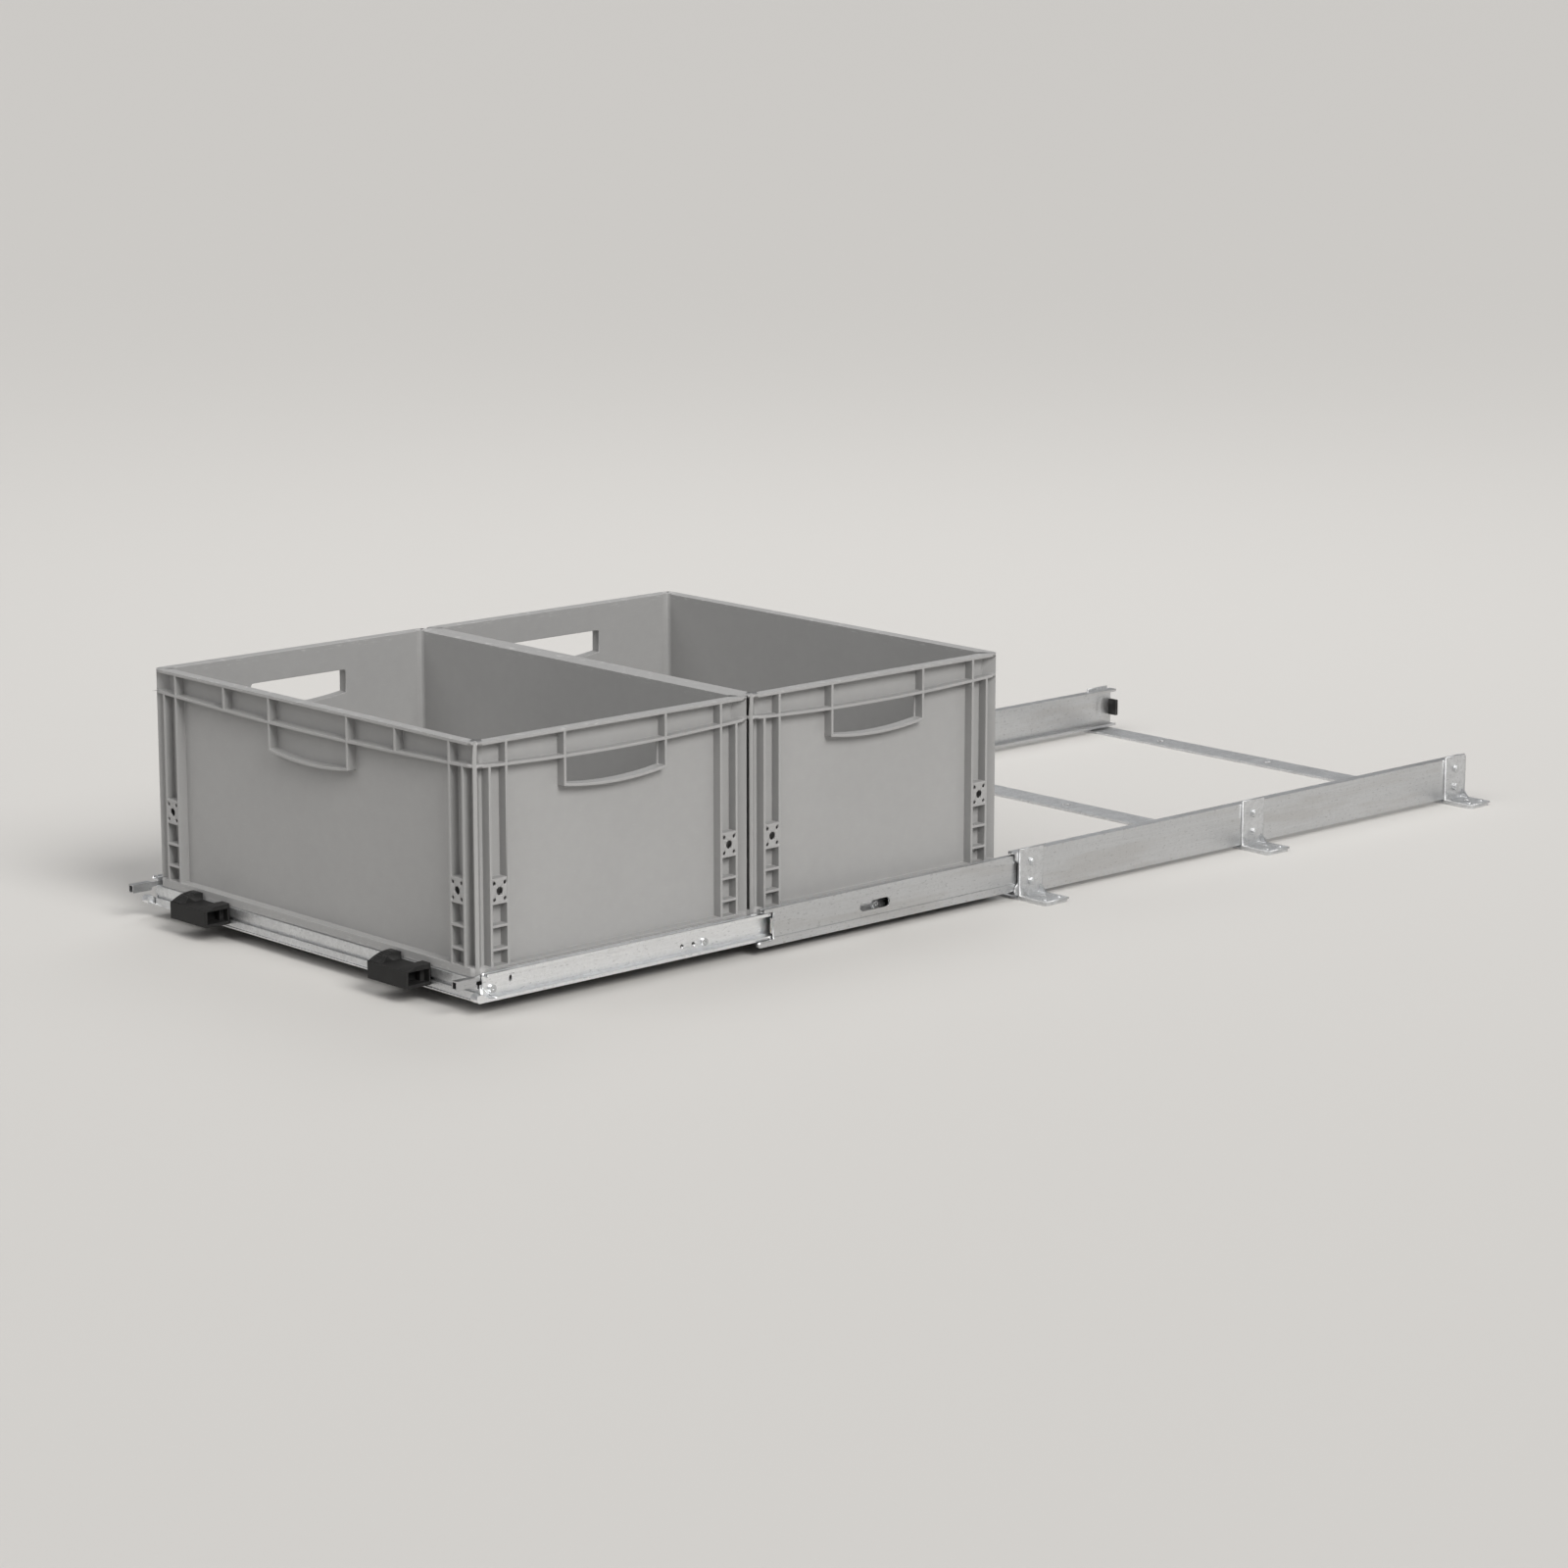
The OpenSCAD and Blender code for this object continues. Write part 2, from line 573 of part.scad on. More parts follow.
// Rear rail: the front rail's plain counterpart
module rear_rail() color("#b4b7ba") cross_rail(load_y + 2 * crate_w, [0.2, 10]) {
    translate([0.2, 19]) square([2, bed_z - 19]);
    translate([-foot_in + 1, bed_z - sheet]) square([foot_in, sheet]);
    translate([-12, 19]) square([13, 2]);
}

// Screws and nuts that fix each side ledge to its slide
module carriage_screws() color("#d6d8da") for (side = ["left", "right"], y = screw_ys)
    on_side(side) translate([0, load_y + y, screw_v]) {
        rod_x([-7, 2.5], 2.5);
        difference() {
            rod_x([2, 4.6], 4.4);
            rod_x([3.4, 5], 1.6, $fn = 6);
        }
    }
module carriage_nuts() color("#c9cbcd") for (side = ["left", "right"], y = screw_ys)
    on_side(side) translate([-sheet - 4, load_y + y, screw_v]) rotate([0, 90, 0]) difference() {
        cylinder(r = 4.6, h = 4, $fn = 6);
        translate([0, 0, -1]) cylinder(r = 2.5, h = 6);
    }

// ---- Catches ---------------------------------------------------------------------------------

module at_catch(side) translate([(side == "left" ? -1 : 1) * catch_x, load_y, 0]) children();

// Moulded housing: button well on the left, hollow middle, open pocket under a raised right end
module catch_housing(side) color("#26282b") at_catch(side) {
    h = catch_w / 2;
    front = catch_y[0];
    back = catch_y[1];
    difference() {
        intersection() {
            union() {
                span([-h, front, catch_z], [h, back, catch_top]);
                along_x([20, h]) polygon([[front, 36], [front, catch_top], [front + 14, 43.5],
                    [back, 44.5], [back, 36]]);
            }
            translate([0, (front + back) / 2, 0]) block(catch_w, back - front, [catch_z, 50], 3);
        }
        // well for the button
        span([button_x[0] - 0.5, front + 2.4, well_z], [button_x[1] + 0.5, back + 1, 60]);
        // hollow middle, open below
        span([-14, front + 2.4, catch_z - 1], [12, back - 2.2, 37.4]);
        // pocket open to the right
        span([17, front + 3, 24], [h + 1, back - 3.5, 38.5]);
        for (d = catch_screw_x) translate([d, 0, catch_screw_z]) rod_y([back - 4, back + 1], 2.1);
    }
    // fixed block inside the pocket
    span([20, back - 9, 23], [27, back - 3, 39]);
}
module catch_housing_left() catch_housing("left");
module catch_housing_right() catch_housing("right");

// Screws that hold the housings to the front rail
module catch_screws() color("#b8babd") for (side = ["left", "right"], d = catch_screw_x) at_catch(side)
    translate([d, 0, catch_screw_z]) {
        rod_y([catch_y[1] - 4.4, catch_y[1] - 2.2], 3.4);
        rod_y([catch_y[1] - 3, -0.4], 2);
    }

// Spring-loaded button: a round hood that rises towards the back, in front of the crate's base band
module catch_button(side) color("#303236") at_catch(side) difference() {
    intersection() {
        span([button_x[0], catch_y[0] + 2.8, button_z[0]], [button_x[1], catch_y[1] - 0.4, button_z[1]]);
        translate([0, -8, button_z[1] - hood_r]) rod_x([button_x[0] - 1, button_x[1] + 1], hood_r);
    }
    translate([(button_x[0] + button_x[1]) / 2, -20, button_z[0] - 1]) cylinder(r = 4.6, h = 11);
}
module catch_button_left() catch_button("left");
module catch_button_right() catch_button("right");

module catch_spring(side) color("#c8cacc") at_catch(side)
    translate([(button_x[0] + button_x[1]) / 2, -20, well_z + 0.1])
    coil_spring(3.4, 0.45, 6, button_z[0] + 9.8 - well_z);
module catch_spring_left() catch_spring("left");
module catch_spring_right() catch_spring("right");

// ---- Release levers --------------------------------------------------------------------------

// Flat lever on the crate side of the inner rail, with a hollow finger tab in front
module release_lever(side) color("#a6a9ac") on_side(side) {
    root_y = load_y + tab_y + tab[1] - 3;
    low = pivot_v - 2.5;
    high = pivot_v + 3;
    difference() {
        along_x([lever_u, lever_u + lever_t]) polygon([[root_y, tab_v + 3], [load_y + 2, low],
            [load_y + notch_y - 4, low], [load_y + notch_y - 1, low + 1], [load_y + 78, low + 1],
            [load_y + 78, high], [load_y + 4, high], [root_y, tab_v + 9]]);
        translate([0, load_y + pivot_y, pivot_v]) rod_x([lever_u - 1, 0], 1.85);
    }
    translate([lever_u - 0.7, load_y + tab_y, tab_v]) difference() {
        cube(tab);
        translate([1.4, -1, 1.4]) cube([tab[0] - 2.8, tab[1] - 2, tab[2] - 2.8]);
    }
}
module release_lever_left() release_lever("left");
module release_lever_right() release_lever("right");

// Shouldered rivets on which the levers swing, peened flush in the rails' webs
module lever_pivots() color("#d0d2d4") for (side = ["left", "right"]) on_side(side)
    translate([0, load_y + pivot_y, pivot_v]) {
        rod_x([-4.2, -3.5], 2.3);
        rod_x([-4, 0.5], 1.8);
        rod_x([-0.9, 0], 2.6);
        rod_x([0, 2], 1.9);
    }

// Folded leaf springs that hold the levers up, each standing on a ledge's upright leg
module lever_spring(side) color("#c8cacc") on_side(side) {
    foot = notch_z - slide_z + 0.05;
    top = pivot_v - 2.6;
    along_x([-2.2, -0.6]) translate([load_y, 0]) polygon([[6, foot], [30, foot], [31, foot + 0.9],
        [10, top], [3, top], [3, top - 0.4], [9.6, top - 0.4], [28.4, foot + 0.4], [6, foot + 0.4]]);
}
module lever_spring_left() lever_spring("left");
module lever_spring_right() lever_spring("right");

// ---- Drawing ---------------------------------------------------------------------------------

fixed_rail_left();
fixed_rail_right();
floor_bar_front();
floor_bar_middle();
floor_bar_rear();
rail_brackets_left();
rail_brackets_right();
bracket_screws();
bar_rivets();
closing_buffers();
middle_rail_left();
middle_rail_right();
middle_bumper_left();
middle_bumper_right();
outer_cage_left();
outer_cage_right();
outer_balls_left();
outer_balls_right();
inner_cage_left();
inner_cage_right();
inner_balls_left();
inner_balls_right();
drawer_rail_left();
drawer_rail_right();
side_ledge_left();
side_ledge_right();
front_rail();
centre_rail();
rear_rail();
carriage_screws();
carriage_nuts();
catch_housing_left();
catch_housing_right();
catch_screws();
catch_button_left();
catch_button_right();
catch_spring_left();
catch_spring_right();
lever_pivots();
release_lever_left();
release_lever_right();
lever_spring_left();
lever_spring_right();
crate_front();
crate_rear();
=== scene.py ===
# %% [markdown]
# # A pull-out carrier with two stacking crates
# The carrier is a drawer without a box. Two moulded crates stand on a frame of folded steel, and the
# frame hangs between a pair of three-part ball slides. The solid model of it is finished, so this
# lesson loads that model as a frame that never moves, and spends its effort on what makes the pieces
# look real: rounded edges, moulding and rolling marks, zinc, nylon and plain grey plastic.

# %% Load the frame
import json
import math

import bmesh
import bpy
from mathutils import Matrix, Vector


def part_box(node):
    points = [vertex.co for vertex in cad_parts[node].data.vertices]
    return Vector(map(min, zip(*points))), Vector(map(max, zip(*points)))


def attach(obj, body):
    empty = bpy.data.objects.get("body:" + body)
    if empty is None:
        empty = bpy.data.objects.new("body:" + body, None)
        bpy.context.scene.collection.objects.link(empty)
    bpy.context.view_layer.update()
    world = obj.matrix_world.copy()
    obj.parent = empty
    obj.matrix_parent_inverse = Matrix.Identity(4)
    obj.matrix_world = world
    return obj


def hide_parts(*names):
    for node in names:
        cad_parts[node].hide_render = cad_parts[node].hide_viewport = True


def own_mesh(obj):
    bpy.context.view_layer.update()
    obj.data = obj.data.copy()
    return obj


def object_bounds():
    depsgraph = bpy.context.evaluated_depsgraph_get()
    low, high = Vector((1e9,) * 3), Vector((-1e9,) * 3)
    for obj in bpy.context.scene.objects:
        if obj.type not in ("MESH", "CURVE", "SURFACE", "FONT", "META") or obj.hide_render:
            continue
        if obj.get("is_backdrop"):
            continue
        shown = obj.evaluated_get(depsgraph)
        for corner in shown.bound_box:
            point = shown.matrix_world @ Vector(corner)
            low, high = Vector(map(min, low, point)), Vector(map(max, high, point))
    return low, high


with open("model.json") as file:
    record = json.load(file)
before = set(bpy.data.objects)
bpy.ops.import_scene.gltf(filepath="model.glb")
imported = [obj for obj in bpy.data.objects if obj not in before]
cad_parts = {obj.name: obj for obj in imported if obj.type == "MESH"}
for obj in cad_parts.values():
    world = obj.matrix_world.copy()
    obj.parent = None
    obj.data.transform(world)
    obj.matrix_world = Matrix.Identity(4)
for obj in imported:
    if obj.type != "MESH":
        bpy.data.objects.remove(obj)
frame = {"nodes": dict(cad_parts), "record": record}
cad_low, cad_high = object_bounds()
parts = frame["nodes"]
body_of_part = {part: body for body, members in frame["record"]["behaviour"]["bodies"].items()
                for part in members}
slot_of_part = {s["node"]: s["material_slot"] for s in frame["record"]["subparts"]}
MM = 0.001
print(len(parts), "parts, box from", [round(v, 3) for v in cad_low], "to", [round(v, 3) for v in cad_high])

# %% [markdown]
# ## Shader sums written as sums
# A pattern is arithmetic: a noise, less a threshold, times a strength. Wired by hand that is a row of
# Math nodes for every finish. A small class that wraps a socket and knows + - and * lets each finish
# read like the sum it is. Colours go through Mix nodes, because a Math node would turn them grey.

# %% Sockets that can be added and multiplied
class Wire:
    """An output socket that takes part in sums. Each sum adds one Math node."""

    def __init__(self, finish, socket):
        self.finish, self.socket = finish, socket

    def sum(self, operation, *values):
        return self.finish.node("ShaderNodeMath", values, operation=operation)

    def __add__(self, other): return self.sum("ADD", self, other)
    def __radd__(self, other): return self.sum("ADD", other, self)
    def __sub__(self, other): return self.sum("SUBTRACT", self, other)
    def __rsub__(self, other): return self.sum("SUBTRACT", other, self)
    def __mul__(self, other): return self.sum("MULTIPLY", self, other)
    def __rmul__(self, other): return self.sum("MULTIPLY", other, self)
    def most(self, other): return self.sum("MAXIMUM", self, other)


print("a Wire knows +, -, * and most(), and each adds one node")

# %% [markdown]
# ## One finish, one material
# Each finish starts as a plain Principled shader. What is the same all over is a number on the shader's
# own socket. What changes over the surface is built from a few patterns and linked in. The patterns
# read the object's own coordinates in metres, so a scale of 1000 means detail about a millimetre
# across, whatever the size of the part.

# %% A finish and its patterns
class Finish:
    """One material. Numbers go straight onto its shader, and patterns are linked with feed()."""

    def __init__(self, name, **fixed):
        self.material = bpy.data.materials.new(name)
        self.material.use_nodes = True
        self.tree = self.material.node_tree
        self.shader = self.tree.nodes["Principled BSDF"]
        for key, value in fixed.items():
            self.shader.inputs[key.replace("_", " ").title().replace("Ior", "IOR")].default_value = value

    def node(self, kind, values=(), out=0, **settings):
        """Adds a node: its settings first, then its sockets by name or in order. Gives its output."""
        made = self.tree.nodes.new(kind)
        for key, value in settings.items():
            setattr(made, key, value)
        for key, value in values.items() if isinstance(values, dict) else enumerate(values):
            if isinstance(value, Wire):
                self.tree.links.new(value.socket, made.inputs[key])
            else:
                made.inputs[key].default_value = value
        return Wire(self, made.outputs[out])

    def place(self, stretch=(1, 1, 1)):
        """The object's own coordinates in metres, drawn out by stretch."""
        where = self.node("ShaderNodeTexCoord", out="Object")
        return self.node("ShaderNodeMapping", {"Vector": where, "Scale": stretch})

    def axis(self, letter):
        return self.node("ShaderNodeSeparateXYZ", [self.place()], out="XYZ".index(letter))

    def noise(self, scale, detail=2.0, stretch=(1, 1, 1)):
        return self.node("ShaderNodeTexNoise", {"Vector": self.place(stretch), "Scale": scale,
                                                "Detail": detail})

    def cells(self, scale, stretch=(1, 1, 1)):
        """A grey level for each cell of a broken-up surface, from 0 to 1."""
        colour = self.node("ShaderNodeTexVoronoi", {"Vector": self.place(stretch), "Scale": scale},
                           out="Color")
        return self.node("ShaderNodeSeparateColor", [colour])

    def between(self, value, low, high, to_low=0.0, to_high=1.0):
        """A smooth step of value, from to_low at low to to_high at high."""
        return self.node("ShaderNodeMapRange", [value, low, high, to_low, to_high],
                         interpolation_type="SMOOTHSTEP")

    def mix(self, factor, first, second):
        return self.node("ShaderNodeMix", {0: factor, 6: first, 7: second}, out=2, data_type="RGBA")

    def tone(self, colour, level):
        """A colour made lighter or darker by a changing level around 1."""
        return self.node("ShaderNodeMix", {0: 1.0, 6: colour, 7: level}, out=2, data_type="RGBA",
                         blend_type="MULTIPLY")

    def bump(self, height, depth, below=None):
        values = {"Height": height, "Distance": depth}
        if below is not None:
            values["Normal"] = below
        return self.node("ShaderNodeBump", values)

    def feed(self, **links):
        for key, wire in links.items():
            self.tree.links.new(wire.socket, self.shader.inputs[key.replace("_", " ").title()])


def grey(level, warmth=0.0):
    """A neutral colour, a little warmer or cooler."""
    return (level * (1 + warmth), level, level * (1 - warmth), 1)


print("mid grey, a little warm:", [round(v, 3) for v in grey(0.5, 0.02)])

# %% [markdown]
# ## Crate plastic
# Stacking crates are injection moulded from polypropylene: one even mid grey, satin, with a fine spark
# grain from the mould. Use shows first on what sticks out, so the rim and the base band carry pale
# rubbed streaks, and dust settles on the floor inside. All of it is faint: a new crate is almost
# plain, and strong noise would look like stone.

# %% Crate plastic
def crate_finish(low, high):
    made = Finish("crate plastic", specular_ior_level=0.42)
    height = made.axis("Z")
    cloud = made.noise(5.0, 3.0)
    mottle = made.noise(70.0, 3.0)
    grain = made.noise(1500.0, 2.0)
    streak = made.noise(90.0, 4.0, stretch=(1, 1, 7))
    rim = made.between(height, high - 10 * MM, high - 1 * MM)
    foot = made.between(height, low + 22 * MM, low + 10 * MM)
    rubbed = made.between(streak, 0.56, 0.72) * (rim.most(foot) * 0.55 + 0.05)
    dust = made.between(height, low + 16 * MM, low + 10.5 * MM) * made.between(cloud, 0.35, 0.70) * 0.22
    level = 0.90 + cloud * 0.12 + mottle * 0.08
    plain = made.tone(grey(0.320, 0.004), level)
    worn = made.mix(rubbed, plain, grey(0.50, 0.006))
    made.feed(base_color=made.mix(dust, worn, grey(0.43, 0.03)),
              roughness=0.40 + grain * 0.10 + mottle * 0.08 + rubbed * 0.18,
              normal=made.bump(grain, 0.06 * MM, made.bump(mottle, 0.12 * MM)))
    return made.material


crate_low, crate_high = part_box("crate_front")
finishes = {"crate_plastic": crate_finish(crate_low.z, crate_high.z)}
print("crate plastic grades from z", round(crate_low.z, 3), "to", round(crate_high.z, 3))

# %% [markdown]
# ## Zinc
# Every steel piece here is zinc plated, but not alike. The inner rails are bright strip, rolled along
# their length, so their streaks run front to back. The rails in the zinc_rail_dull slot carry grease
# smears, and their base colour is also set about a third darker than the bright rails, which is painted
# shade. The folded frame is galvanised sheet, with the small crystals, called spangle, that hot zinc
# freezes into. One function makes all of them from a brightness, a roughness and the strengths of
# spangle, streaks and grease.

# %% Zinc plated steel
def zinc_finish(name, level, roughness, spangle, streaks, grease=0.0):
    made = Finish(name, metallic=1.0)
    crystal = made.cells(230.0)
    crystal_fine = made.cells(620.0)
    rolled = made.noise(1.0, 4.0, stretch=(900, 9, 900))
    cloud = made.noise(1.0, 4.0, stretch=(60, 7, 60))
    scratch = made.between(made.noise(1.0, 2.0, stretch=(260, 34, 1500)), 0.66, 0.70)
    specks = made.between(made.noise(1.0, 3.0, stretch=(420, 150, 420)), 0.60, 0.68)
    shade = (1.0 - 0.5 * (spangle + streaks)) + crystal * (spangle * 0.6) + crystal_fine * (spangle * 0.4)
    shade = shade + rolled * streaks + (cloud - 0.5) * 0.14 - scratch * 0.08 - specks * 0.16
    smear = made.between(cloud, 0.44, 0.68) * grease
    colour = made.mix(smear, made.tone(grey(level, -0.012), shade), grey(level * 0.62, 0.05))
    made.feed(base_color=colour,
              roughness=(roughness - 0.07) + crystal * 0.06 + rolled * 0.09 + specks * 0.10 - smear * 0.06,
              normal=made.bump(rolled * 0.6 + crystal_fine * 0.4, 0.03 * MM))
    return made.material


# zinc_rail_dull is the rail zinc at a darker level, which is painted shade, with real grease smears on top
STEELS = {"zinc_rail": dict(name="bright rolled zinc", level=0.95, roughness=0.33, spangle=0.10,
                            streaks=0.18),
          "zinc_rail_dull": dict(name="greased rolled zinc in painted shade", level=0.66, roughness=0.38, spangle=0.08,
                                 streaks=0.18, grease=0.30),
          "zinc_frame": dict(name="galvanised sheet", level=0.70, roughness=0.42, spangle=0.20,
                             streaks=0.05),
          "cage_steel": dict(name="cage strip", level=0.58, roughness=0.34, spangle=0.03, streaks=0.14,
                             grease=0.9),
          "fastener_steel": dict(name="plated fasteners", level=0.64, roughness=0.46, spangle=0.04,
                                 streaks=0.05),
          "lever_steel": dict(name="lever plate", level=0.56, roughness=0.38, spangle=0.10, streaks=0.10),
          "spring_steel": dict(name="spring strip", level=0.74, roughness=0.24, spangle=0.02, streaks=0.12)}
for slot, recipe in STEELS.items():
    finishes[slot] = zinc_finish(**recipe)
print(len(STEELS), "steel finishes")

# %% [markdown]
# ## Bearing balls, nylon and rubber
# The balls are hardened steel under a film of grease. The catches are black glass-filled nylon, which
# comes out of the mould with a fine dull grain and turns shiny where a thumb presses it. The rubber
# buffers are matt, with a bloom of grey on their surface. The bumpers in the middle rails are nylon
# without pigment, pale and waxy, so a little light scatters inside them.

# %% Balls, nylon and rubber
def ball_finish():
    made = Finish("bearing steel", metallic=1.0)
    film = made.noise(900.0, 2.0)
    made.feed(base_color=made.tone(grey(0.86, 0.01), 0.90 + film * 0.15), roughness=0.08 + film * 0.12)
    return made.material


def nylon_finish(top):
    made = Finish("black nylon", specular_ior_level=0.32)
    grain = made.noise(1300.0, 3.0)
    cloud = made.noise(45.0, 3.0)
    fibre = made.between(made.noise(1.0, 2.0, stretch=(700, 160, 700)), 0.60, 0.72)
    polished = made.between(made.axis("Z"), top - 10 * MM, top - 2 * MM)
    dusty = made.between(cloud, 0.50, 0.75) * 0.30
    colour = made.mix(dusty, grey(0.012, 0.01), grey(0.034, 0.02))
    made.feed(base_color=made.mix(fibre * 0.10, colour, grey(0.08)),
              roughness=0.50 + grain * 0.16 - polished * 0.18,
              normal=made.bump(grain, 0.05 * MM))
    return made.material


def rubber_finish():
    made = Finish("buffer rubber", specular_ior_level=0.3)
    cloud = made.noise(120.0, 4.0)
    made.feed(base_color=made.mix(made.between(cloud, 0.4, 0.7), grey(0.020), grey(0.045, 0.02)),
              roughness=0.72 + cloud * 0.16, normal=made.bump(cloud, 0.10 * MM))
    return made.material


def pale_nylon_finish():
    made = Finish("pale nylon", specular_ior_level=0.4, subsurface_weight=0.15)
    cloud = made.noise(60.0, 4.0)
    made.feed(base_color=made.mix(made.between(cloud, 0.45, 0.70), grey(0.55, 0.04), grey(0.36, 0.06)),
              roughness=0.42 + cloud * 0.16)
    return made.material


finishes["ball_steel"] = ball_finish()
finishes["black_nylon"] = nylon_finish(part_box("catch_button_left")[1].z)
finishes["buffer_rubber"] = rubber_finish()
finishes["pale_nylon"] = pale_nylon_finish()
for part, thing in parts.items():
    thing.data.materials.clear()
    thing.data.materials.append(finishes[slot_of_part[part]])
print("finishes:", ", ".join(sorted(m.name for m in finishes.values())))

# %% [markdown]
# ## Rounded edges
# A solid model has edges without width, and no real edge is like that: plastic leaves the mould with a
# small radius, and sheet metal is tumbled or rolled over. That radius is what catches the light along
# a rib. So each larger piece that shows gets a twin: a copy of its mesh is merged, its flat faces are
# joined and cut into clean triangles again, and its long sharp edges are bevelled. Left joined, a wall
# with a grip hole would be one face with a hole in it, and a bevel along that hole closes it up. Edges
# of small holes stay as they are, since a bevel as wide as their facets would fold over itself.
# Weighted normals keep the flat faces flat in the light. The solid stays for collisions, unseen.

# %% From a mesh to a piece
def placed(shell, name, body, slot, stands_for=None):
    """Turns a finished bmesh into a piece that rides on a body, in the finish of a slot."""
    mesh = bpy.data.meshes.new(name)
    shell.to_mesh(mesh)
    shell.free()
    mesh.polygons.foreach_set("use_smooth", [True] * len(mesh.polygons))
    mesh.set_sharp_from_angle(angle=math.radians(50))
    mesh.materials.append(finishes[slot])
    piece = bpy.data.objects.new(name, mesh)
    bpy.context.scene.collection.objects.link(piece)
    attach(piece, body)
    if stands_for:
        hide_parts(stands_for)
    return piece


def merged_copy(part):
    """A part's mesh as a bmesh, its loose triangles joined up."""
    shell = bmesh.new()
    shell.from_mesh(parts[part].data)
    bmesh.ops.remove_doubles(shell, verts=shell.verts, dist=0.002 * MM)
    return shell


print("the front crate has", len(parts["crate_front"].data.polygons), "loose triangles to join")

# %% Twins with rounded edges
SHORTEST = 4 * MM                       # shorter edges belong to small holes and stay sharp
FLAT, SHARP = math.radians(0.6), math.radians(35)


def twin(part, edge):
    """A copy of a part whose long sharp edges are rounded. It replaces the part."""
    shell = merged_copy(part)
    bmesh.ops.dissolve_limit(shell, angle_limit=FLAT, verts=shell.verts, edges=shell.edges)
    bmesh.ops.triangulate(shell, faces=shell.faces)
    long_sharp = [e for e in shell.edges if e.is_manifold and e.calc_length() >= SHORTEST
                  and e.calc_face_angle(0.0) > SHARP]
    bmesh.ops.bevel(shell, geom=long_sharp, affect="EDGES", offset=edge, segments=2, profile=0.5,
                    material=-1)
    piece = placed(shell, part + "_rounded", body_of_part[part], slot_of_part[part], part)
    piece.modifiers.new("flat faces stay flat", "WEIGHTED_NORMAL").keep_sharp = True
    return piece


# Width of the rounding on each part, in millimetres
ROUNDED = {"crate_front": 0.6, "crate_rear": 0.6, "front_rail": 0.35, "centre_rail": 0.35,
           "rear_rail": 0.35}
for side in ("left", "right"):
    ROUNDED |= {"fixed_rail_" + side: 0.3, "middle_rail_" + side: 0.3, "drawer_rail_" + side: 0.3,
                "side_ledge_" + side: 0.35, "rail_brackets_" + side: 0.4,
                "catch_housing_" + side: 0.5, "catch_button_" + side: 0.5,
                "release_lever_" + side: 0.3, "middle_bumper_" + side: 0.4}
for bar in ("front", "middle", "rear"):
    ROUNDED["floor_bar_" + bar] = 0.4
twins = {part: twin(part, edge * MM) for part, edge in ROUNDED.items()}
print(len(twins), "twins,", sum(len(t.data.polygons) for t in twins.values()), "faces")

# %% [markdown]
# ## Copies of the springs
# A pressed button pushes its coil spring together, and a pressed lever flattens the leaf under it. A
# rigid spring would poke through both. Each spring here only gets a copy with a mesh of its own, on the
# spring's body, in place of the solid; the copy keeps its full length.

# %% Springs
def springy(part):
    """A copy of a spring, with a mesh of its own, that replaces the spring on its body."""
    piece = placed(merged_copy(part), part + "_springy", body_of_part[part], slot_of_part[part], part)
    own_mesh(piece)


for side in ("left", "right"):
    springy("catch_spring_" + side)
    springy("lever_spring_" + side)

# %% [markdown]
# ## Small moulded details
# Two details are too fine for the solid model. A thumb slips on smooth nylon, so each catch button has
# ridges across its curved top. And a moulded crate floor keeps the faint round marks of the pins that
# pushed it out of the mould. Both are rows of squat cylinders from one operator, each sunk so far into
# its surface that only a sliver stands out.

# %% Rows of rods
def row_of_rods(name, body, slot, centres, radius, length, lying, sides):
    """One piece made of equal cylinders, which lie along X or stand up."""
    shell = bmesh.new()
    turn = Matrix.Rotation(math.pi / 2, 4, "Y") if lying else Matrix()
    for centre in centres:
        bmesh.ops.create_cone(shell, cap_ends=True, segments=sides, radius1=radius, radius2=radius,
                              depth=length, matrix=Matrix.Translation(centre) @ turn)
    print(name, "has", len(centres), "rods")
    return placed(shell, name, body, slot)


# %% Thumb ridges
HOOD = 50 * MM          # radius of a button's curved top
CREST = 4.6 * MM        # its highest line, in front of the button's back face
RIDGES, FIRST, PITCH = 6, 5 * MM, 3.4 * MM      # how many, and how far in front of the crest
RIDGE_R, SUNK, MARGIN = 0.7 * MM, 0.25 * MM, 2 * MM
for side in ("left", "right"):
    low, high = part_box("catch_button_" + side)
    centres = []
    for ahead in (FIRST + PITCH * step for step in range(RIDGES)):
        up = high.z - HOOD + math.sqrt(HOOD ** 2 - ahead ** 2) - SUNK
        centres.append(Vector(((low.x + high.x) / 2, high.y - CREST - ahead, up)))
    row_of_rods("thumb_ridges_" + side, "button_" + side, "black_nylon", centres, RIDGE_R,
                high.x - low.x - 2 * MARGIN, lying=True, sides=12)

# %% Pin marks
FLOOR_TOP = 11 * MM     # top of a crate's floor above the bottom of its foot
PIN_R, PIN_H = 5 * MM, 0.5 * MM
PIN_XS, PIN_YS = (-200, -70, 70, 200), (-120, 0, 120)
for end in ("front", "rear"):
    low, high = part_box("crate_" + end)
    centre = (low + high) / 2
    centres = [Vector((centre.x + x * MM, centre.y + y * MM, low.z + FLOOR_TOP))
               for x in PIN_XS for y in PIN_YS]
    row_of_rods(f"pin_marks_{end}", f"{end}_crate", "crate_plastic", centres, PIN_R, PIN_H,
                lying=False, sides=24)

# %% [markdown]
# ## Floor, light and camera
# The carrier is shown on a plain pale floor under soft studio light. A wide soft sun stands on the
# right, so the end walls of the crates are lighter than their fronts, and a weaker one fills in from
# the front. Both stand fairly high, so that they reach down into the open crates, and a faint lamp
# hangs high up behind. The camera is a few metres off, to the right of the front, a little above the
# crates.

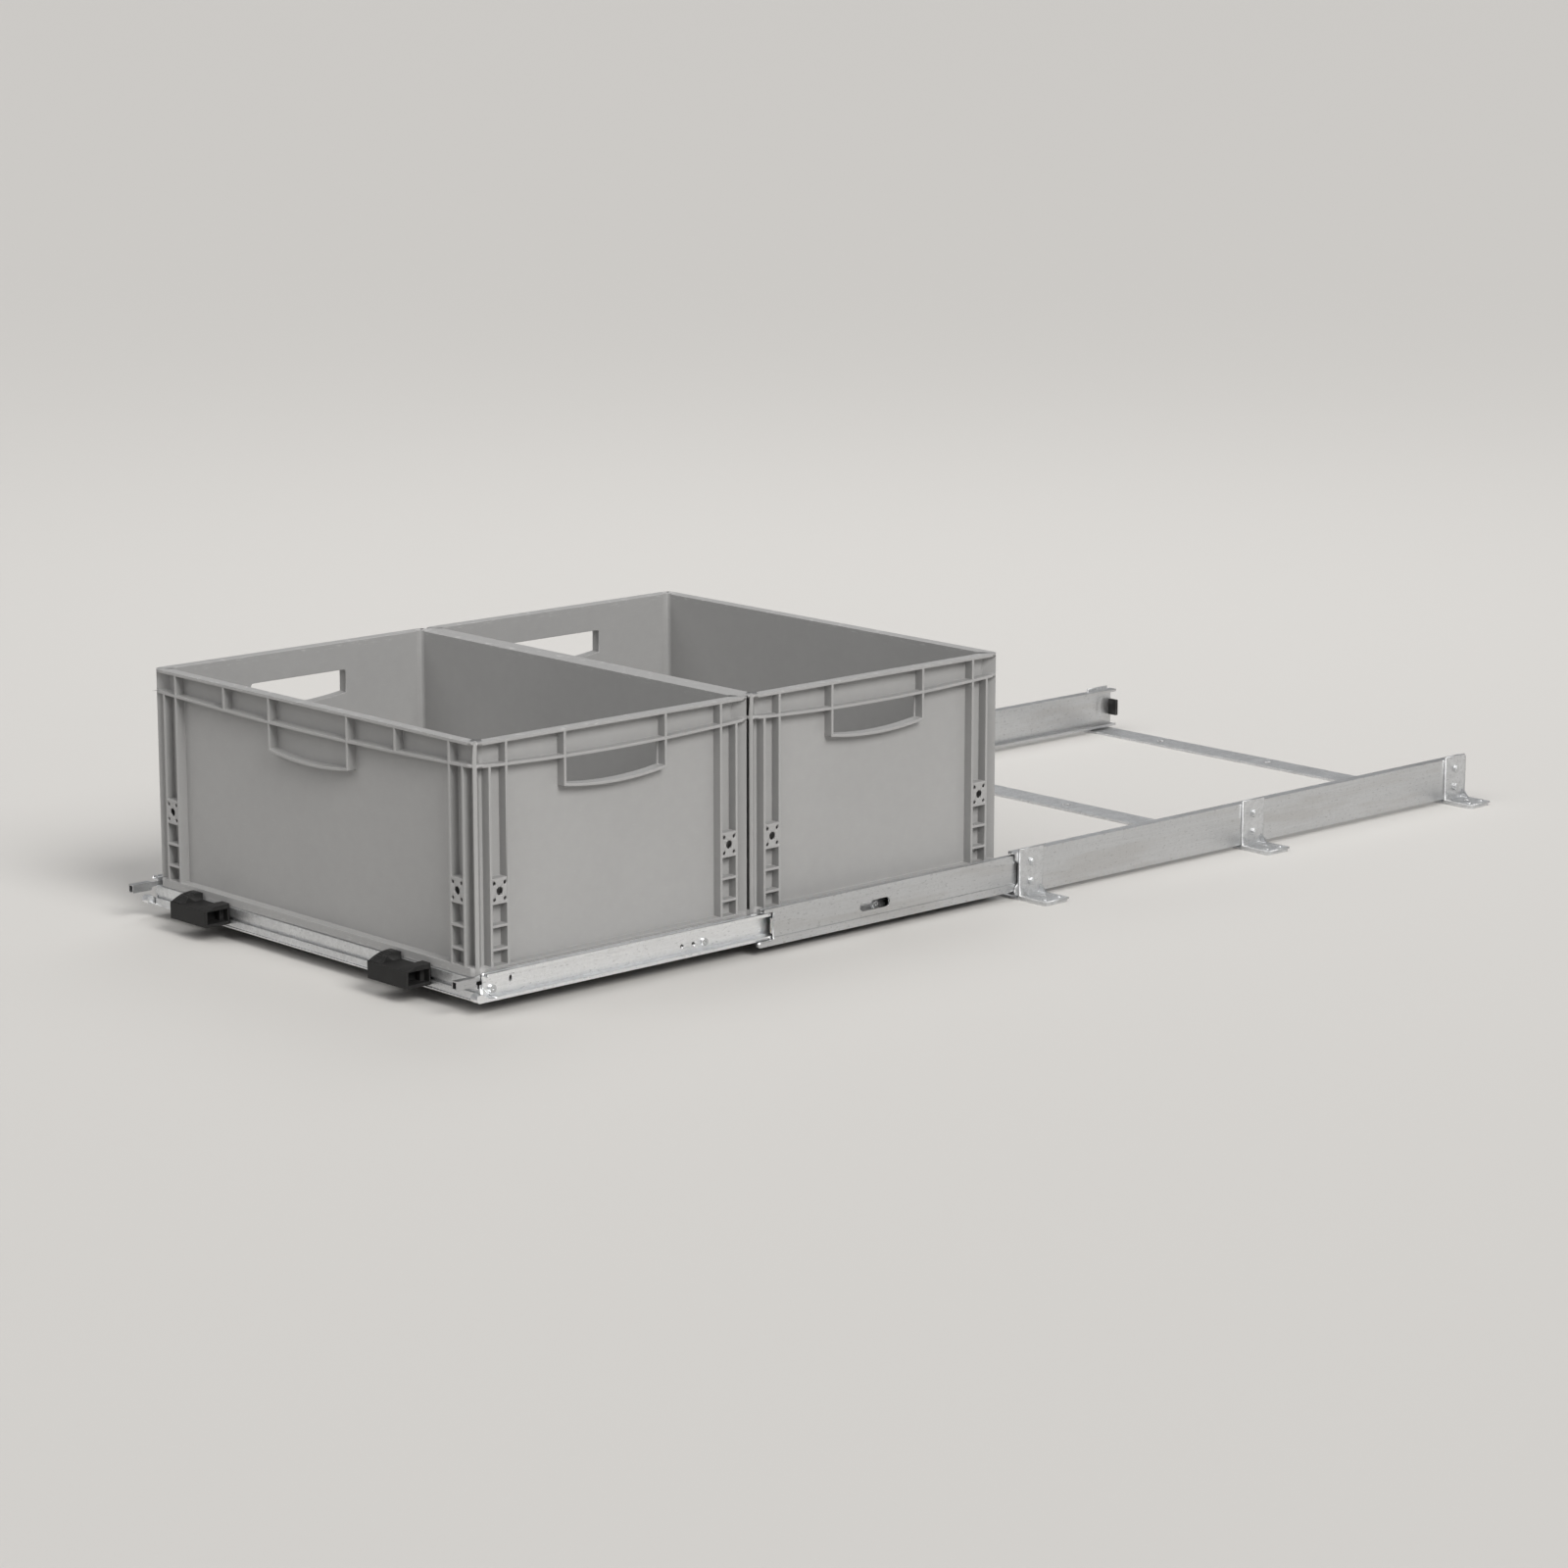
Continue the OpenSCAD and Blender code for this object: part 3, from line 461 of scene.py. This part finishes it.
# %% Floor
def studio_floor(half):
    """A pale square, twice half wide, that marks where the object stands."""
    sheet = bmesh.new()
    bmesh.ops.create_grid(sheet, x_segments=1, y_segments=1, size=half)
    mesh = bpy.data.meshes.new("studio_floor")
    sheet.to_mesh(mesh)
    sheet.free()
    pale = Finish("pale floor", base_color=(0.56, 0.55, 0.535, 1), roughness=0.85)
    mesh.materials.append(pale.material)
    floor = bpy.data.objects.new("studio_floor", mesh)
    bpy.context.scene.collection.objects.link(floor)
    floor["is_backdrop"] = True
    return floor


floor = studio_floor(60.0)
print("floor at z =", floor.location.z)

# %% Light
def soft_lamp(name, place, aim, size, power):
    lamp = bpy.data.lights.new(name, "AREA")
    lamp.shape, lamp.size, lamp.energy = "DISK", size, power
    holder = bpy.data.objects.new(name, lamp)
    bpy.context.scene.collection.objects.link(holder)
    holder.location = place
    holder.rotation_euler = (aim - place).to_track_quat("-Z", "Y").to_euler()


def daylight(name, towards, strength, spread):
    lamp = bpy.data.lights.new(name, "SUN")
    lamp.energy, lamp.angle, lamp.color = strength, math.radians(spread), (1.0, 0.985, 0.96)
    holder = bpy.data.objects.new(name, lamp)
    bpy.context.scene.collection.objects.link(holder)
    holder.rotation_euler = Vector(towards).to_track_quat("Z", "Y").to_euler()


middle = (cad_low + cad_high) / 2
daylight("key", towards=(0.80, -0.12, 0.62), strength=2.75, spread=28)
daylight("fill", towards=(-0.10, -0.62, 0.78), strength=1.25, spread=60)
soft_lamp("overhead", place=middle + Vector((-1.6, 1.8, 3.4)), aim=middle, size=2.6, power=30)
AIR_COLOUR, AIR_STRENGTH = (0.98, 0.985, 1.0, 1), 0.26
world = bpy.data.worlds.new("studio air")
world.use_nodes = True
world.node_tree.nodes["Background"].inputs["Color"].default_value = AIR_COLOUR
world.node_tree.nodes["Background"].inputs["Strength"].default_value = AIR_STRENGTH
bpy.context.scene.world = world
bpy.context.scene.view_settings.view_transform = "Standard"

# %% Camera
AZIMUTH, ELEVATION = math.radians(46.8), math.radians(11.5)
DISTANCE, LENS = 5.54, 102.0
aim = middle + Vector((-0.030, -0.055, -0.055))     # a little low and near, to centre the picture
back = Vector((math.sin(AZIMUTH) * math.cos(ELEVATION), -math.cos(AZIMUTH) * math.cos(ELEVATION),
               math.sin(ELEVATION)))
camera = bpy.data.objects.new("camera", bpy.data.cameras.new("camera"))
bpy.context.scene.collection.objects.link(camera)
camera.data.lens, camera.data.sensor_width, camera.data.clip_end = LENS, 36.0, 200.0
camera.location = middle + back * DISTANCE
camera.rotation_euler = (aim - camera.location).to_track_quat("-Z", "Y").to_euler()
bpy.context.scene.camera = camera
print("camera at", [round(v, 2) for v in camera.location])

# %% Sizes of the visible pieces against the solid model
low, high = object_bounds()
print("visual box off by", [round((x - y) * 1000, 2) for x, y in zip([*low, *high], [*cad_low, *cad_high])])
